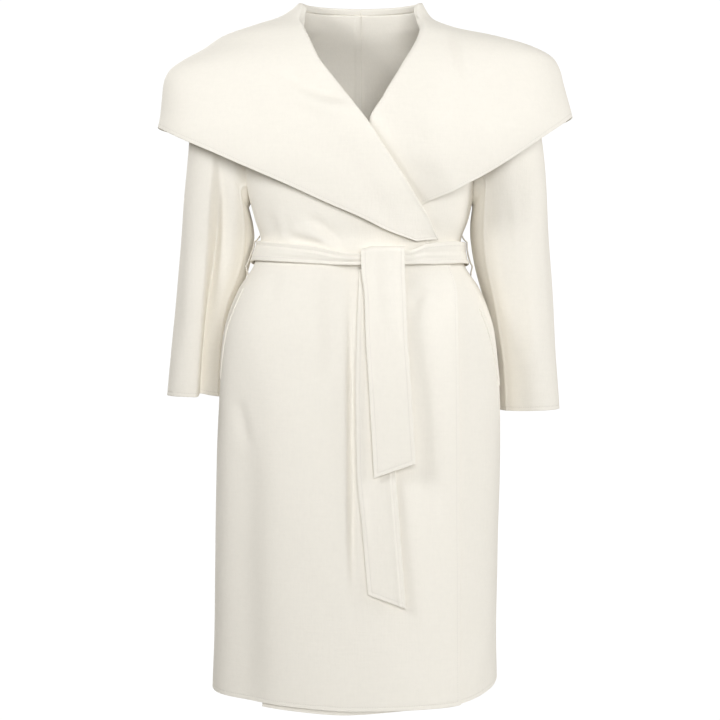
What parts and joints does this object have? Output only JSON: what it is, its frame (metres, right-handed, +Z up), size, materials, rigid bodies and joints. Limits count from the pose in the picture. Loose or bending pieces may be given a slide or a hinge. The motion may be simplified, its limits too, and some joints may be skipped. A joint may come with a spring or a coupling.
{
  "type": "wrap coat",
  "caption": "Knee-length wool wrap coat with a wide draped shawl collar, long set-in sleeves, slanted side pockets and a tied waist belt, filled out as if worn.",
  "frame": {"origin": "centre of the neck opening at the height of the neck's base, between the shoulders, where the wearer carries the coat", "axes": "+X to the wearer's left, -Y to the wearer's front, +Z up"},
  "size_m": [0.6003, 0.3011, 0.9976],
  "materials": {
    "back_left": "ivory double-faced wool with a fine brushed nap, matt with a soft sheen",
    "back_right": "ivory double-faced wool with a fine brushed nap, matt with a soft sheen",
    "belt_end_back": "ivory double-faced wool with a fine brushed nap, matt with a soft sheen",
    "belt_end_front": "ivory double-faced wool with a fine brushed nap, matt with a soft sheen",
    "belt_loop_left": "ivory double-faced wool with a fine brushed nap, matt with a soft sheen",
    "belt_loop_right": "ivory double-faced wool with a fine brushed nap, matt with a soft sheen",
    "belt_waist_back": "ivory double-faced wool with a fine brushed nap, matt with a soft sheen",
    "belt_waist_left": "ivory double-faced wool with a fine brushed nap, matt with a soft sheen",
    "belt_waist_right": "ivory double-faced wool with a fine brushed nap, matt with a soft sheen",
    "collar_left": "ivory double-faced wool with a fine brushed nap, matt with a soft sheen",
    "collar_right": "ivory double-faced wool with a fine brushed nap, matt with a soft sheen",
    "front_left": "ivory double-faced wool with a fine brushed nap, matt with a soft sheen",
    "front_right": "ivory double-faced wool with a fine brushed nap, matt with a soft sheen",
    "pocket_welt_left": "ivory double-faced wool with a fine brushed nap, matt with a soft sheen",
    "pocket_welt_right": "ivory double-faced wool with a fine brushed nap, matt with a soft sheen",
    "sleeve_top_left": "ivory double-faced wool with a fine brushed nap, matt with a soft sheen",
    "sleeve_top_right": "ivory double-faced wool with a fine brushed nap, matt with a soft sheen",
    "sleeve_under_left": "ivory double-faced wool with a fine brushed nap, matt with a soft sheen",
    "sleeve_under_right": "ivory double-faced wool with a fine brushed nap, matt with a soft sheen"
  },
  "bodies": {
    "root": {"back_left": "back_left", "back_right": "back_right", "belt_end_back": "belt_end_back", "belt_end_front": "belt_end_front", "belt_loop_left": "belt_loop_left", "belt_loop_right": "belt_loop_right", "belt_waist_back": "belt_waist_back", "belt_waist_left": "belt_waist_left", "belt_waist_right": "belt_waist_right", "collar_left": "collar_left", "collar_right": "collar_right", "front_left": "front_left", "front_right": "front_right", "pocket_welt_left": "pocket_welt_left", "pocket_welt_right": "pocket_welt_right", "sleeve_top_left": "sleeve_top_left", "sleeve_top_right": "sleeve_top_right", "sleeve_under_left": "sleeve_under_left", "sleeve_under_right": "sleeve_under_right"}
  },
  "joints": []
}
